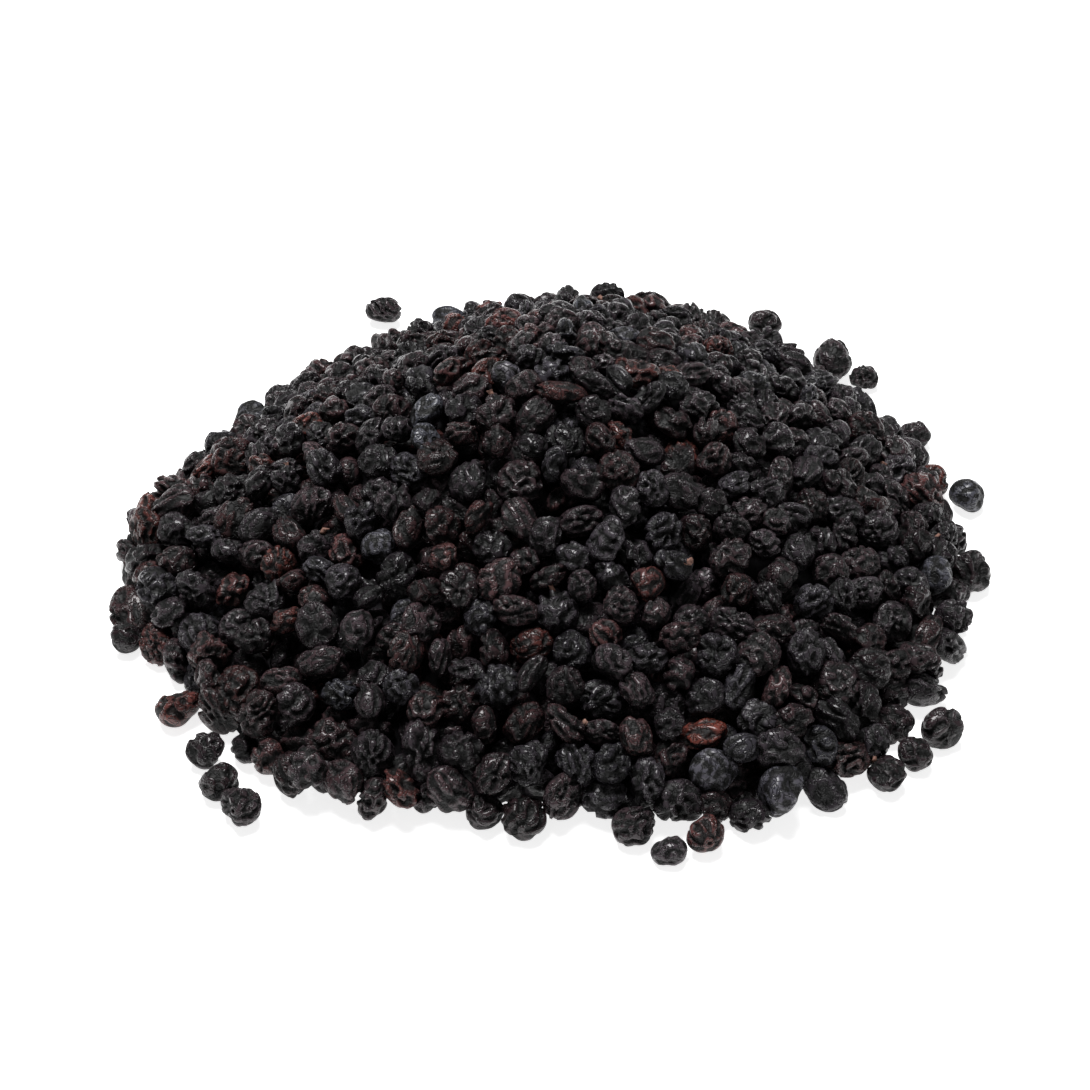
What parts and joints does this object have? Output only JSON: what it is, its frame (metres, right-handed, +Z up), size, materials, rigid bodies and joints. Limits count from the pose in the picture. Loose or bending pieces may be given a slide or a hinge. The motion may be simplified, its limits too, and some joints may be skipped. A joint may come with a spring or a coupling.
{
  "type": "heap of dried blackcurrants",
  "caption": "Loose heap of dried, wrinkled blackcurrants poured out on a flat surface, with single berries lying around its edge.",
  "frame": {"origin": "on the surface that the heap lies on, under the heap's summit", "axes": "+Z up, -Y towards the camera that took the picture, +X to its right"},
  "size_m": [0.1777, 0.1735, 0.0471],
  "materials": {
    "black_skin": "dry wrinkled berry skin, satin on the ridges and dull in the dents",
    "red_brown_skin": "dry wrinkled berry skin that dried red-brown, satin"
  },
  "bodies": {
    "root": {"heap_lower": "black_skin", "heap_upper": "black_skin", "stray_back_left": "black_skin", "stray_left": "black_skin", "stray_left_front": "red_brown_skin", "stray_front_left_1": "black_skin", "stray_front_left_2": "black_skin", "stray_front_left_3": "black_skin", "stray_front_1": "black_skin", "stray_front_2": "black_skin", "stray_front_3": "black_skin", "stray_front_4": "black_skin", "stray_front_5": "red_brown_skin", "stray_front_right_1": "black_skin", "stray_front_right_2": "black_skin", "stray_front_right_3": "black_skin", "stray_right_1": "black_skin", "stray_right_2": "black_skin", "stray_right_3": "red_brown_skin", "stray_back_right_1": "black_skin", "stray_back_right_2": "black_skin", "stray_back_right_3": "black_skin", "stray_back_right_4": "black_skin"}
  },
  "joints": []
}
